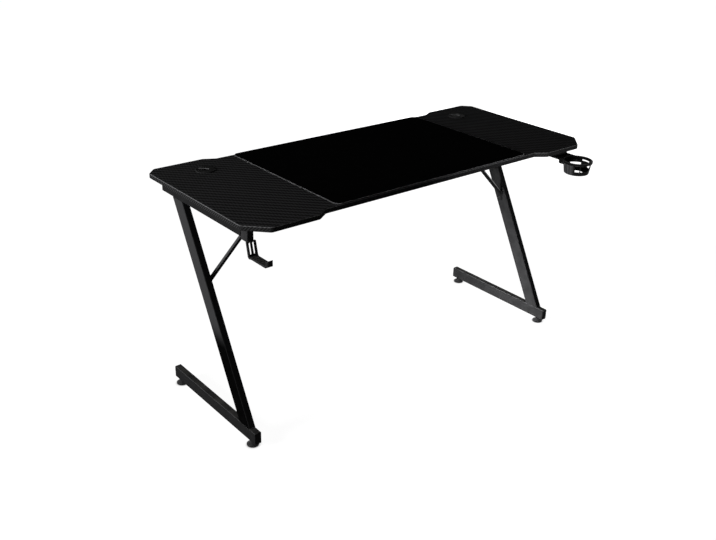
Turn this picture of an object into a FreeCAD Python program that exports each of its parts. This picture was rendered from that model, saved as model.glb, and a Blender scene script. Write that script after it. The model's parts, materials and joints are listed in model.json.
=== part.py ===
import FreeCAD, Part
import math
import os

# Gaming desk: a wing-shaped board on two leaning steel legs, with a full-width mouse pad,
# two cable grommets, a headphone hook at the left and a cup holder at the right.
# Millimetres. X runs along the desk to the user's right, Y from the user to the rear, Z up.
# The sizes below are measured from the middle of the board and from the floor.

# Driving sizes of the desk
top_length = 1400.0
top_depth = 600.0
top_height = 740.0
board_thick = 15.0
leg_inset = 30.0
tube_width = 23.0
bar_height = 40.0
post_depth = 50.0
tube_wall = 1.5
tube_corner = 3.0

# Outline of the board
front_cut = 62.0
rear_cut = 30.0
front_recess = 25.0
rear_recess = 20.0
wing_front_length = 222.0
wing_rear_length = 203.0
recess_run = 38.0
outline_round = 14.0
edge_bevel = 1.5

# Legs
bar_rear = 246.0
foot_bar_length = 480.0
foot_gap = 18.0
post_foot_setback = 55.0
post_head_setback = 89.0
end_cap_thick = 3.0
end_cap_plug = 12.0
plug_clearance = 0.2

# Levelling feet
foot_front_inset = 27.0
foot_rear_inset = 21.0
foot_radius = 19.0
foot_rim = 6.0
foot_neck_radius = 8.0
foot_neck_height = 5.0
foot_edge_bevel = 1.5
stud_radius = 4.0
stud_length = 34.0
stud_clearance = 0.05
foot_nut_width = 14.0
foot_nut_height = 8.0

# Crossbeam and braces
beam_depth = 25.0
plate_thick = 4.0
plate_round = 3.0
end_plate_ear = 20.0
brace_radius = 7.0
brace_drop = 225.0
brace_forward = 6.0
brace_angle = 45.0
brace_plate_width = 18.0
brace_plate_length = 36.0
brace_plate_offset = 8.0
brace_screw_offset = 16.0

# Mouse pad
pad_side_gap = 40.0
pad_margin = 1.0
pad_thick = 4.0
pad_round = 20.0

# Cable grommets
grommet_side_inset = 155.0
grommet_rear_inset = 101.0
grommet_flange_radius = 31.0
grommet_flange_height = 3.0
grommet_sleeve_radius = 25.0
grommet_sleeve_wall = 2.0
grommet_sleeve_drop = 3.0
grommet_seat_depth = 2.0
grommet_rim_width = 3.0
grommet_skirt_depth = 7.0
grommet_skirt_wall = 1.6
grommet_slot_width = 20.0
grommet_slot_angle = 140.0
turn_clearance = 0.05
hole_clearance = 0.1

# Headphone hook
hook_setback = 74.0
hook_block_width = 22.0
hook_block_depth = 33.0
hook_block_height = 46.0
hook_block_round = 3.0
hook_bar_gap = 2.0
hook_width = 30.0
hook_arm_width = 25.0
hook_neck_run = 8.0
hook_thick = 5.5
hook_sink = 2.0
hook_overlap = 2.5
hook_drop = 43.0
hook_lean = 10.0
hook_reach = 94.0
hook_tip_height = 19.0
hook_tip_round = 10.0
hook_outer_round = 8.0
hook_inner_round = 3.0
hook_edge_round = 1.0
hook_slot_width = 7.0
hook_slot_web = 4.6
hook_slot_sill = 3.0
hook_rib_count = 6
hook_rib_width = 2.0
hook_rib_height = 1.0
hook_screw_spacing = 16.0
hook_seat = 6.0

# Cup holder
cup_side_inset = 134.0
cup_reach = 59.5
cup_drop = 10.0
cup_height = 44.5
cup_rim_radius = 50.5
cup_rim_height = 9.0
cup_rim_lip = 2.0
cup_base_radius = 41.5
cup_wall = 3.0
cup_floor = 3.0
cup_floor_hole_radius = 22.0
cup_base_band = 13.5
cup_tall_window_spans = ((209.0, 230.0), (234.0, 287.0))
cup_low_window_spans = ((318.0, 345.0), (379.0, 430.0))
cup_low_window_height = 10.5
cup_slit_span = (335.0, 376.0)
cup_slit_height = 5.0
cup_edge_bevel = 1.0
bracket_width = 68.0
bracket_under = 38.0
bracket_front = 8.0
bracket_drop = 28.0
bracket_flange = 7.0
bracket_spacer_setback = 14.0
bracket_wall = 3.0
bracket_round = 4.0
bracket_screw_spacing = 28.0
bracket_screw_setback = 26.0

# Fasteners
board_screw_radius = 2.5
board_screw_grip = 11.0
board_screw_head_radius = 5.0
board_screw_head_height = 3.2
access_clearance = 1.5
bolt_radius = 3.0
bolt_head_radius = 5.2
bolt_head_height = 4.0
beam_nut_width = 10.0
beam_nut_height = 5.0
bolt_tail = 2.0
brace_screw_radius = 2.4
brace_screw_grip = 10.0
brace_screw_head_radius = 4.5
brace_screw_head_height = 3.0
socket_share = 0.5
socket_depth_share = 0.6
screw_clearance = 0.05
board_screw_shares = (0.12, 0.5, 0.88)

# One overrun serves all cuts
overrun = 5.0

# Places worked out from the sizes above
half_length = top_length / 2
half_depth = top_depth / 2
under = top_height - board_thick
recess_front_half = half_length - wing_front_length - recess_run
recess_rear_half = half_length - wing_rear_length - recess_run
half_pad = recess_front_half - pad_side_gap
leg_x = half_length - leg_inset - tube_width / 2
inner_x = leg_x - tube_width / 2
bar_low = under - bar_height
foot_low = foot_gap
foot_high = foot_gap + bar_height
foot_bar_front = bar_rear - foot_bar_length
hook_face_y = hook_setback - half_depth
top_bar_front = hook_face_y + hook_block_depth + hook_bar_gap + end_cap_thick
post_foot_y = foot_bar_front + post_foot_setback
post_head_y = bar_rear - post_head_setback
post_slope = (post_head_y - post_foot_y) / (bar_low - foot_high)
post_half = post_depth / 2 * math.hypot(1, post_slope)
brace_low_height = bar_low - brace_drop
beam_y = post_foot_y + post_slope * (brace_low_height - foot_high) - brace_forward
beam_half = inner_x - plate_thick
brace_top = bar_low - plate_thick
brace_top_x = beam_half - (brace_top - brace_low_height) / math.tan(math.radians(brace_angle))
end_bolt_offset = (beam_depth + end_plate_ear) / 2
beam_mid_height = under - bar_height / 2
hook_x = leg_inset + hook_block_width / 2 - half_length
cup_x = half_length - cup_side_inset
cup_y = -half_depth - cup_reach
cup_top = under - cup_drop
cup_low = cup_top - cup_height
cup_wall_top_radius = cup_rim_radius - cup_rim_lip
grommet_x = half_length - grommet_side_inset
grommet_y = half_depth - grommet_rear_inset
sides = {"left": -1, "right": 1}

# The origin lies on the floor under the middle of the whole desk, cup holder included
frame_shift = (cup_reach + cup_rim_radius) / 2


def vector(x, y, z):
    return FreeCAD.Vector(x, y, z)


def box(x0, x1, y0, y1, z0, z1):
    return Part.makeBox(x1 - x0, y1 - y0, z1 - z0, vector(x0, y0, z0))


def rounded_outline(points, radii, place):
    """Closed wire through flat points, each corner rounded; place turns (a, b) into a 3D point."""
    edges = []
    joins = []
    count = len(points)
    for i, corner in enumerate(points):
        before = FreeCAD.Vector(*points[i - 1], 0)
        here = FreeCAD.Vector(*corner, 0)
        after = FreeCAD.Vector(*points[(i + 1) % count], 0)
        back = (before - here).normalize()
        ahead = (after - here).normalize()
        half_angle = back.getAngle(ahead) / 2
        reach = radii[i] / math.tan(half_angle)
        middle = (back + ahead).normalize() * (radii[i] / math.sin(half_angle) - radii[i])
        joins.append((here + back * reach, here + middle, here + ahead * reach))
    for i, (start, middle, end) in enumerate(joins):
        if radii[i] > 0:
            edges.append(Part.Arc(place(start), place(middle), place(end)).toShape())
        next_start = joins[(i + 1) % count][0]
        edges.append(Part.makeLine(place(end), place(next_start)))
    return Part.Wire(edges)


def prism(points, radii, place, along):
    """Solid with a rounded outline, pushed out along a vector."""
    return Part.Face(rounded_outline(points, radii, place)).extrude(along)


def rectangle(a0, a1, b0, b1):
    return [(a0, b0), (a1, b0), (a1, b1), (a0, b1)]


def plate_z(x0, x1, y0, y1, z0, z1, radius):
    """Flat block with rounded upright edges."""
    place = lambda p: vector(p.x, p.y, z0)
    return prism(rectangle(x0, x1, y0, y1), [radius] * 4, place, vector(0, 0, z1 - z0))


def plate_x(x0, x1, y0, y1, z0, z1, radius):
    """Flat block with rounded edges along X."""
    place = lambda p: vector(x0, p.x, p.y)
    return prism(rectangle(y0, y1, z0, z1), [radius] * 4, place, vector(x1 - x0, 0, 0))


def plate_y(x0, x1, y0, y1, z0, z1, radius):
    """Flat block with rounded edges along Y."""
    place = lambda p: vector(p.x, y0, p.y)
    return prism(rectangle(x0, x1, z0, z1), [radius] * 4, place, vector(0, y1 - y0, 0))


def upright_hole(x, y, z0, z1, radius):
    return Part.makeCylinder(radius, z1 - z0, vector(x, y, z0))


def cross_hole(x0, x1, y, z, radius):
    return Part.makeCylinder(radius, x1 - x0, vector(x0, y, z), vector(1, 0, 0))


def hexagon(width, height):
    """Upright six-sided prism on the origin, measured across its flats."""
    radius = width / math.sqrt(3)
    corners = []
    for i in range(7):
        turn = math.radians(60 * i)
        corners.append(vector(radius * math.cos(turn), radius * math.sin(turn), 0))
    return Part.Face(Part.makePolygon(corners)).extrude(vector(0, 0, height))


def screw(radius, grip, head_radius, head_height):
    """Screw with its head's seat at the origin, its shank up and a six-sided socket below."""
    shank = Part.makeCylinder(radius, grip)
    head = Part.makeCylinder(head_radius, head_height, vector(0, 0, -head_height))
    socket = hexagon(2 * head_radius * socket_share, head_height * socket_depth_share)
    socket.translate(vector(0, 0, -head_height))
    return shank.fuse(head).cut(socket).removeSplitter()


def nut(width, height, radius):
    bore = upright_hole(0, 0, -overrun, height + overrun, radius)
    return hexagon(width, height).cut(bore)


def moved(shape, x, y, z):
    copy = shape.copy()
    copy.translate(vector(x, y, z))
    return copy


def turned(shape, axis, degrees):
    copy = shape.copy()
    copy.rotate(vector(0, 0, 0), axis, degrees)
    return copy


def group(shapes):
    return Part.makeCompound(shapes)


# Places shared by the pieces that fasten to each other
def board_screw_places(side):
    length = bar_rear - top_bar_front
    return [(side * leg_x, top_bar_front + share * length) for share in board_screw_shares]


def hook_screw_places():
    middle = hook_face_y + hook_block_depth / 2
    return [(hook_x, middle + offset * hook_screw_spacing / 2) for offset in (-1, 1)]


def bracket_screw_places():
    y = bracket_screw_setback - half_depth
    return [(cup_x + offset * bracket_screw_spacing / 2, y) for offset in (-1, 1)]


def foot_places(side):
    return [(side * leg_x, foot_bar_front + foot_front_inset), (side * leg_x, bar_rear - foot_rear_inset)]


def end_bolt_places():
    return [beam_y - end_bolt_offset, beam_y + end_bolt_offset]


# Board
def desktop():
    right = [
        (recess_front_half, front_recess - half_depth),
        (recess_front_half + recess_run, -half_depth),
        (half_length - front_cut, -half_depth),
        (half_length, front_cut - half_depth),
        (half_length, half_depth - rear_cut),
        (half_length - rear_cut, half_depth),
        (recess_rear_half + recess_run, half_depth),
        (recess_rear_half, half_depth - rear_recess),
    ]
    left = [(-x, y) for x, y in reversed(right)]
    points = right + left
    place = lambda p: vector(p.x, p.y, under)
    board = prism(points, [outline_round] * len(points), place, vector(0, 0, board_thick))
    rims = []
    for edge in board.Edges:
        if edge.BoundBox.ZLength < edge_bevel:
            rims.append(edge)
    board = board.makeChamfer(edge_bevel, rims)
    holes = []
    for side in sides.values():
        holes.append(upright_hole(side * grommet_x, grommet_y, under - overrun, top_height + overrun,
                                  grommet_sleeve_radius + hole_clearance))
        for x, y in board_screw_places(side):
            holes.append(board_pilot(x, y))
    for x, y in hook_screw_places() + bracket_screw_places():
        holes.append(board_pilot(x, y))
    return board.cut(holes)


def board_pilot(x, y):
    """Blind hole in the board's underside for one screw."""
    depth = board_screw_grip + screw_clearance
    return upright_hole(x, y, under - overrun, under + depth, board_screw_radius + screw_clearance)


def mouse_pad():
    front = front_recess + pad_margin - half_depth
    rear = half_depth - rear_recess - pad_margin
    return plate_z(-half_pad, half_pad, front, rear, top_height, top_height + pad_thick, pad_round)


# Cable grommets: a flanged liner pressed into the board and a cap that turns in it
seat_height = top_height + grommet_flange_height - grommet_seat_depth
grommet_bore = grommet_sleeve_radius - grommet_sleeve_wall
grommet_cap_radius = grommet_flange_radius - grommet_rim_width - turn_clearance


def grommet_liner(side):
    x = side * grommet_x
    flange_top = top_height + grommet_flange_height
    low = under - grommet_sleeve_drop
    flange = upright_hole(x, grommet_y, top_height, flange_top, grommet_flange_radius)
    flange = flange.makeChamfer(edge_bevel, [flange.Edges[0]])
    sleeve = upright_hole(x, grommet_y, low, flange_top, grommet_sleeve_radius)
    bore = upright_hole(x, grommet_y, low - overrun, flange_top + overrun, grommet_bore)
    seat = upright_hole(x, grommet_y, seat_height, flange_top + overrun, grommet_cap_radius + turn_clearance)
    return flange.fuse(sleeve).cut([bore, seat]).removeSplitter()


def grommet_cap(side):
    x = side * grommet_x
    low = seat_height + turn_clearance
    top = top_height + grommet_flange_height
    skirt_radius = grommet_bore - turn_clearance
    disc = upright_hole(x, grommet_y, low, top, grommet_cap_radius)
    skirt = upright_hole(x, grommet_y, low - grommet_skirt_depth, low, skirt_radius)
    hollow_radius = skirt_radius - grommet_skirt_wall
    hollow = upright_hole(x, grommet_y, low - grommet_skirt_depth - overrun, low, hollow_radius)
    cap = disc.fuse(skirt).cut(hollow)
    half_slot = grommet_slot_width / 2
    slot_low = low - grommet_skirt_depth - overrun
    slot = box(0, grommet_flange_radius, -half_slot, half_slot, slot_low, top + overrun)
    slot = slot.fuse(upright_hole(0, 0, slot_low, top + overrun, half_slot))
    slot = moved(turned(slot, vector(0, 0, 1), grommet_slot_angle), x, grommet_y, 0)
    return cap.cut(slot).removeSplitter()


# Legs
def tube_y(side, front, rear, low):
    """Square tube along Y in the plane of one leg, with rounded corners."""
    x0 = side * leg_x - tube_width / 2
    x1 = side * leg_x + tube_width / 2
    high = low + bar_height
    outer = plate_y(x0, x1, front, rear, low, high, tube_corner)
    hollow = plate_y(x0 + tube_wall, x1 - tube_wall, front - overrun, rear + overrun,
                     low + tube_wall, high - tube_wall, tube_corner - tube_wall)
    return outer.cut(hollow)


def top_bar(side):
    bar = tube_y(side, top_bar_front, bar_rear, bar_low)
    holes = []
    for x, y in board_screw_places(side):
        access = board_screw_head_radius + access_clearance
        holes.append(upright_hole(x, y, bar_low - overrun, bar_low + tube_wall + overrun, access))
        holes.append(upright_hole(x, y, under - tube_wall - overrun, under + overrun,
                                  board_screw_radius + screw_clearance))
    wall_x = side * inner_x
    for y in end_bolt_places():
        holes.append(cross_hole(wall_x - overrun, wall_x + overrun, y, beam_mid_height,
                                bolt_radius + screw_clearance))
    return bar.cut(holes)


def post(side):
    """Leaning tube between the two bars, cut level at both ends."""
    x0 = side * leg_x - tube_width / 2

    def slab(inset, x_from, x_to, extra):
        half = post_half - inset * math.hypot(1, post_slope)
        low = foot_high - extra
        high = bar_low + extra
        low_y = post_foot_y - post_slope * extra
        high_y = post_head_y + post_slope * extra
        corners = [
            vector(x_from, low_y - half, low),
            vector(x_from, low_y + half, low),
            vector(x_from, high_y + half, high),
            vector(x_from, high_y - half, high),
        ]
        solid = Part.Face(Part.makePolygon(corners + corners[:1])).extrude(vector(x_to - x_from, 0, 0))
        long_edges = []
        for edge in solid.Edges:
            if edge.BoundBox.ZLength > bar_height:
                long_edges.append(edge)
        return solid.makeFillet(tube_corner - inset, long_edges)

    outer = slab(0, x0, x0 + tube_width, 0)
    hollow = slab(tube_wall, x0 + tube_wall, x0 + tube_width - tube_wall, overrun)
    tube = outer.cut(hollow)
    wall_x = side * inner_x
    hole = cross_hole(wall_x - overrun, wall_x + overrun, beam_y, brace_low_height - brace_screw_offset,
                      brace_screw_radius + screw_clearance)
    return tube.cut(hole)


def foot_bar(side):
    bar = tube_y(side, foot_bar_front, bar_rear, foot_low)
    holes = []
    for x, y in foot_places(side):
        holes.append(upright_hole(x, y, foot_low - overrun, foot_low + tube_wall + overrun,
                                  stud_radius + stud_clearance))
    return bar.cut(holes)


def bar_end_caps(low, front):
    """Plastic plugs in the open ends of the two bars at one height."""
    caps = []
    for side in sides.values():
        for end, outward in ((front, -1), (bar_rear, 1)):
            caps.append(end_cap(side, low, end, outward))
    return group(caps)


def end_cap(side, low, end, outward):
    x0 = side * leg_x - tube_width / 2
    x1 = side * leg_x + tube_width / 2
    high = low + bar_height
    outer_face = end + outward * end_cap_thick
    y0, y1 = sorted((end, outer_face))
    cover = plate_y(x0, x1, y0, y1, low, high, tube_corner)
    rims = []
    for edge in cover.Edges:
        if max(abs(edge.BoundBox.YMin - outer_face), abs(edge.BoundBox.YMax - outer_face)) < tube_wall / 2:
            rims.append(edge)
    cover = cover.makeChamfer(tube_wall / 2, rims)
    inset = tube_wall + plug_clearance
    p0, p1 = sorted((end, end - outward * end_cap_plug))
    plug = plate_y(x0 + inset, x1 - inset, p0, p1, low + inset, high - inset, tube_corner - tube_wall)
    return cover.fuse(plug)


# Levelling feet and the nuts they turn in
def levelling_foot(x, y):
    neck_low = foot_gap - foot_neck_height
    outline = [
        vector(0, 0, 0),
        vector(foot_radius - foot_edge_bevel, 0, 0),
        vector(foot_radius, 0, foot_edge_bevel),
        vector(foot_radius, 0, foot_rim - foot_edge_bevel),
        vector(foot_radius - foot_edge_bevel, 0, foot_rim),
        vector(foot_neck_radius, 0, neck_low),
        vector(foot_neck_radius, 0, foot_gap),
        vector(stud_radius, 0, foot_gap),
        vector(stud_radius, 0, foot_gap + stud_length),
        vector(0, 0, foot_gap + stud_length),
    ]
    face = Part.Face(Part.makePolygon(outline + outline[:1]))
    foot = face.revolve(vector(0, 0, 0), vector(0, 0, 1), 360)
    return moved(foot, x, y, 0)


def foot_nuts():
    plain = nut(foot_nut_width, foot_nut_height, stud_radius + stud_clearance)
    nuts = []
    for side in sides.values():
        for x, y in foot_places(side):
            nuts.append(moved(plain, x, y, foot_low + tube_wall))
    return group(nuts)


# Crossbeam between the legs, and the plates welded to its ends
def crossbeam():
    y0 = beam_y - beam_depth / 2
    y1 = beam_y + beam_depth / 2
    outer = plate_x(-beam_half, beam_half, y0, y1, bar_low, under, tube_corner)
    hollow = plate_x(-beam_half - overrun, beam_half + overrun, y0 + tube_wall, y1 - tube_wall,
                     bar_low + tube_wall, under - tube_wall, tube_corner - tube_wall)
    holes = [hollow]
    for side in sides.values():
        x = side * (brace_top_x - brace_screw_offset)
        holes.append(upright_hole(x, beam_y, bar_low - overrun, bar_low + overrun,
                                  brace_screw_radius + screw_clearance))
    return outer.cut(holes)


def beam_end_plates():
    reach = beam_depth / 2 + end_plate_ear
    plates = []
    for side in sides.values():
        x0, x1 = sorted((side * beam_half, side * inner_x))
        plate = plate_x(x0, x1, beam_y - reach, beam_y + reach, bar_low, under, plate_round)
        for y in end_bolt_places():
            plate = plate.cut(cross_hole(x0 - overrun, x1 + overrun, y, beam_mid_height,
                                         bolt_radius + screw_clearance))
        plates.append(plate)
    return group(plates)


def beam_bolts():
    grip = plate_thick + tube_wall + beam_nut_height + bolt_tail
    plain = turned(screw(bolt_radius, grip, bolt_head_radius, bolt_head_height), vector(0, 1, 0), 90)
    bolts = []
    for side in sides.values():
        turn = 0 if side > 0 else 180
        for y in end_bolt_places():
            bolts.append(moved(turned(plain, vector(0, 0, 1), turn), side * beam_half, y, beam_mid_height))
    return group(bolts)


def beam_nuts():
    plain = turned(nut(beam_nut_width, beam_nut_height, bolt_radius + screw_clearance), vector(0, 1, 0), 90)
    nuts = []
    for side in sides.values():
        turn = 0 if side > 0 else 180
        for y in end_bolt_places():
            place = side * (inner_x + tube_wall)
            nuts.append(moved(turned(plain, vector(0, 0, 1), turn), place, y, beam_mid_height))
    return group(nuts)


# Slanting round braces from the posts up to the crossbeam, with a welded plate at each end
def brace(side):
    low_end = vector(side * beam_half, beam_y, brace_low_height)
    along = vector(side * brace_top_x, beam_y, brace_top) - low_end
    spare = along * (2 * brace_radius / along.Length)
    rod = Part.makeCylinder(brace_radius, along.Length + 2 * spare.Length, low_end - spare, along)
    near, far = sorted((0, side * beam_half))
    rod = rod.common(box(near, far, beam_y - brace_plate_width, beam_y + brace_plate_width, 0, brace_top))
    half_width = brace_plate_width / 2
    half_plate = brace_plate_length / 2
    x0, x1 = sorted((side * beam_half, side * inner_x))
    low_middle = brace_low_height - brace_plate_offset
    low_plate = plate_x(x0, x1, beam_y - half_width, beam_y + half_width,
                        low_middle - half_plate, low_middle + half_plate, plate_round)
    high_middle = side * (brace_top_x - brace_plate_offset)
    high_plate = plate_z(high_middle - half_plate, high_middle + half_plate, beam_y - half_width,
                         beam_y + half_width, brace_top, bar_low, plate_round)
    hole_radius = brace_screw_radius + screw_clearance
    holes = [
        cross_hole(x0 - overrun, x1 + overrun, beam_y, brace_low_height - brace_screw_offset, hole_radius),
        upright_hole(side * (brace_top_x - brace_screw_offset), beam_y, brace_top - overrun,
                     bar_low + overrun, hole_radius),
    ]
    return rod.fuse([low_plate, high_plate]).cut(holes).removeSplitter()


def brace_screws():
    plain = screw(brace_screw_radius, brace_screw_grip, brace_screw_head_radius, brace_screw_head_height)
    level = turned(plain, vector(0, 1, 0), 90)
    screws = []
    for side in sides.values():
        turn = 0 if side > 0 else 180
        z = brace_low_height - brace_screw_offset
        screws.append(moved(turned(level, vector(0, 0, 1), turn), side * beam_half, beam_y, z))
        x = side * (brace_top_x - brace_screw_offset)
        screws.append(moved(plain, x, beam_y, brace_top))
    return group(screws)


def board_screws():
    plain = screw(board_screw_radius, board_screw_grip + tube_wall, board_screw_head_radius,
                  board_screw_head_height)
    screws = []
    for side in sides.values():
        for x, y in board_screw_places(side):
            screws.append(moved(plain, x, y, under - tube_wall))
    return group(screws)


# Headphone hook: a block under the board, a slotted plate and an arm with a turned-up tip
hook_arm_low = under - hook_block_height - hook_drop
hook_plate_rear = hook_face_y + hook_sink


def headphone_hook():
    block_low = under - hook_block_height
    x0 = hook_x - hook_block_width / 2
    x1 = hook_x + hook_block_width / 2
    block = plate_z(x0, x1, hook_face_y, hook_face_y + hook_block_depth, block_low, under, hook_block_round)
    head_room = board_screw_head_radius + access_clearance
    hole_radius = board_screw_radius + screw_clearance
    holes = []
    for x, y in hook_screw_places():
        holes.append(upright_hole(x, y, block_low - overrun, under + overrun, hole_radius))
        holes.append(upright_hole(x, y, block_low - overrun, under - hook_seat, head_room))
    strip = hook_strip()
    for cut in hook_slots():
        strip = strip.cut(cut)
    return block.cut(holes).fuse([strip] + hook_ribs()).removeSplitter()


def hook_strip():
    """Bent strip seen from the side, its arm narrower than the hanging plate and round at its tip."""
    top = hook_arm_low + hook_drop + hook_overlap
    front = hook_face_y - hook_reach
    points = [
        (hook_plate_rear, top),
        (hook_plate_rear - hook_lean, hook_arm_low),
        (front, hook_arm_low),
        (front, hook_arm_low + hook_tip_height),
        (front + hook_thick, hook_arm_low + hook_tip_height),
        (front + hook_thick, hook_arm_low + hook_thick),
        (hook_plate_rear - hook_lean - hook_thick, hook_arm_low + hook_thick),
        (hook_plate_rear - hook_thick, top),
    ]
    radii = [0, hook_outer_round, hook_outer_round, hook_edge_round, hook_edge_round,
             hook_inner_round, hook_inner_round, 0]
    half = hook_width / 2
    half_arm = hook_arm_width / 2
    place = lambda p: vector(hook_x - half, p.x, p.y)
    strip = prism(points, radii, place, vector(hook_width, 0, 0))
    neck_rear = hook_plate_rear - hook_lean - hook_thick
    neck_front = neck_rear - hook_neck_run
    right = [
        (half_arm, front),
        (half_arm, neck_front),
        (half, neck_rear),
        (half, hook_plate_rear + overrun),
    ]
    right_radii = [hook_tip_round, hook_inner_round, hook_inner_round, 0]
    plan = [(hook_x + x, y) for x, y in right] + [(hook_x - x, y) for x, y in reversed(right)]
    low = hook_arm_low - overrun
    plan_place = lambda p: vector(p.x, p.y, low)
    rise = vector(0, 0, hook_block_height + hook_drop)
    outline = prism(plan, right_radii + right_radii[::-1], plan_place, rise)
    return strip.common(outline)


def hook_slots():
    """Two upright slots through the hanging plate, below the block."""
    slots = []
    front = hook_plate_rear - hook_lean - hook_thick - overrun
    rear = hook_plate_rear + overrun
    low = hook_arm_low + hook_thick + hook_slot_sill
    high = hook_arm_low + hook_drop
    for offset in (-1, 1):
        middle = hook_x + offset * (hook_slot_web + hook_slot_width) / 2
        slots.append(plate_y(middle - hook_slot_width / 2, middle + hook_slot_width / 2, front, rear,
                             low, high, hook_inner_round))
    return slots


def hook_ribs():
    """Low ribs across the arm's upper face, which keep a headband from sliding."""
    ribs = []
    half = hook_arm_width / 2 - hook_edge_round
    first = hook_plate_rear - hook_lean - hook_thick - hook_neck_run
    last = hook_face_y - hook_reach + hook_thick + hook_tip_round
    low = hook_arm_low + hook_thick / 2
    high = hook_arm_low + hook_thick + hook_rib_height
    for i in range(hook_rib_count):
        middle = first + (last - first) * i / (hook_rib_count - 1)
        ribs.append(box(hook_x - half, hook_x + half, middle - hook_rib_width / 2,
                        middle + hook_rib_width / 2, low, high))
    return ribs


def hook_screws():
    grip = board_screw_grip + hook_seat
    plain = screw(board_screw_radius, grip, board_screw_head_radius, board_screw_head_height)
    return group([moved(plain, x, y, under - hook_seat) for x, y in hook_screw_places()])


# Cup holder: a tapered basket with a heavy rim, tall and low windows and a slit, on a bracket under the board
def cup_holder():
    rim_low = cup_height - cup_rim_height
    windows = [cup_window(cup_slit_span, rim_low - cup_slit_height, rim_low)]
    for span in cup_tall_window_spans:
        windows.append(cup_window(span, cup_base_band, rim_low))
    for span in cup_low_window_spans:
        windows.append(cup_window(span, cup_base_band, cup_base_band + cup_low_window_height))
    basket = moved(cup_shell().cut(windows), cup_x, cup_y, cup_low)
    hollow = moved(cup_hollow(), cup_x, cup_y, cup_low)
    return bracket().cut(hollow).fuse(basket).removeSplitter()


def cup_shell():
    """Basket about the origin, turned from one outline."""
    rim_low = cup_height - cup_rim_height
    bevel = cup_edge_bevel
    inner_top = cup_wall_top_radius - cup_wall
    outline = [
        vector(cup_floor_hole_radius, 0, 0),
        vector(cup_base_radius - bevel, 0, 0),
        vector(cup_wall_radius(bevel), 0, bevel),
        vector(cup_wall_radius(rim_low), 0, rim_low),
        vector(cup_rim_radius, 0, rim_low + cup_rim_lip),
        vector(cup_rim_radius, 0, cup_height - bevel),
        vector(cup_rim_radius - bevel, 0, cup_height),
        vector(inner_top + bevel, 0, cup_height),
        vector(cup_wall_radius(cup_height - bevel) - cup_wall, 0, cup_height - bevel),
        vector(cup_wall_radius(cup_floor) - cup_wall, 0, cup_floor),
        vector(cup_floor_hole_radius, 0, cup_floor),
    ]
    face = Part.Face(Part.makePolygon(outline + outline[:1]))
    return face.revolve(vector(0, 0, 0), vector(0, 0, 1), 360)


def cup_wall_radius(height):
    """Outer radius of the tapered wall at a height above the basket's foot."""
    return cup_base_radius + (cup_wall_top_radius - cup_base_radius) * height / cup_height


def cup_hollow():
    """Room inside the basket, which the bracket keeps clear of."""
    low_radius = cup_wall_radius(0) - cup_wall / 2
    high_radius = cup_wall_radius(cup_height) - cup_wall / 2
    return Part.makeCone(low_radius, high_radius, cup_height)


def cup_window(span, low, high):
    """Cut for one window between two heights above the basket's foot."""
    start, end = span
    wedge = Part.makeCylinder(2 * cup_rim_radius, high - low, vector(0, 0, low), vector(0, 0, 1), end - start)
    return turned(wedge, vector(0, 0, 1), start)


bracket_low = under - bracket_drop
flange_low = cup_top - bracket_flange


def bracket():
    """Flange with a spacer under the board, and the block in front of it that carries the basket."""
    x0 = cup_x - bracket_width / 2
    x1 = cup_x + bracket_width / 2
    rear = bracket_under - half_depth
    step = -half_depth - bracket_front
    spacer = bracket_spacer_setback - half_depth
    points = [
        (rear, under),
        (rear, flange_low),
        (step, flange_low),
        (step, bracket_low),
        (cup_y, bracket_low),
        (cup_y, cup_top),
        (spacer, cup_top),
        (spacer, under),
    ]
    small_round = bracket_round / 2
    radii = [0, bracket_round, small_round, bracket_round, 0, 0, small_round, 0]
    place = lambda p: vector(x0, p.x, p.y)
    body = prism(points, radii, place, vector(x1 - x0, 0, 0))
    body = body.common(plate_z(x0, x1, cup_y - cup_rim_radius, rear, cup_low, under, bracket_round))
    pocket = box(x0 + bracket_wall, x1 - bracket_wall, cup_y - overrun, step - bracket_wall,
                 bracket_low - overrun, cup_top - bracket_wall)
    holes = [pocket]
    for x, y in bracket_screw_places():
        holes.append(upright_hole(x, y, flange_low - overrun, under + overrun,
                                  board_screw_radius + screw_clearance))
    return body.cut(holes)


def cup_holder_screws():
    plain = screw(board_screw_radius, board_screw_grip + under - flange_low, board_screw_head_radius,
                  board_screw_head_height)
    return group([moved(plain, x, y, flange_low) for x, y in bracket_screw_places()])


# Every piece by its name
def pieces():
    made = {
        "desktop": desktop(),
        "mouse_pad": mouse_pad(),
        "crossbeam": crossbeam(),
        "beam_end_plates": beam_end_plates(),
        "top_bar_caps": bar_end_caps(bar_low, top_bar_front),
        "foot_bar_caps": bar_end_caps(foot_low, foot_bar_front),
        "foot_nuts": foot_nuts(),
        "beam_bolts": beam_bolts(),
        "beam_nuts": beam_nuts(),
        "brace_screws": brace_screws(),
        "board_screws": board_screws(),
        "headphone_hook": headphone_hook(),
        "hook_screws": hook_screws(),
        "cup_holder": cup_holder(),
        "cup_holder_screws": cup_holder_screws(),
    }
    for name, side in sides.items():
        made["top_bar_" + name] = top_bar(side)
        made["post_" + name] = post(side)
        made["foot_bar_" + name] = foot_bar(side)
        made["brace_" + name] = brace(side)
        made["grommet_liner_" + name] = grommet_liner(side)
        made["grommet_cap_" + name] = grommet_cap(side)
        for end, (x, y) in zip(("front", "rear"), foot_places(side)):
            made["levelling_foot_" + end + "_" + name] = levelling_foot(x, y)
    return made


os.makedirs("parts", exist_ok=True)
for name, shape in pieces().items():
    shape.translate(vector(0, frame_shift, 0))
    shape.exportStep("parts/" + name + ".step")
    print(name, len(shape.Solids), "solid(s)", "valid" if shape.isValid() else "NOT VALID")
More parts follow.
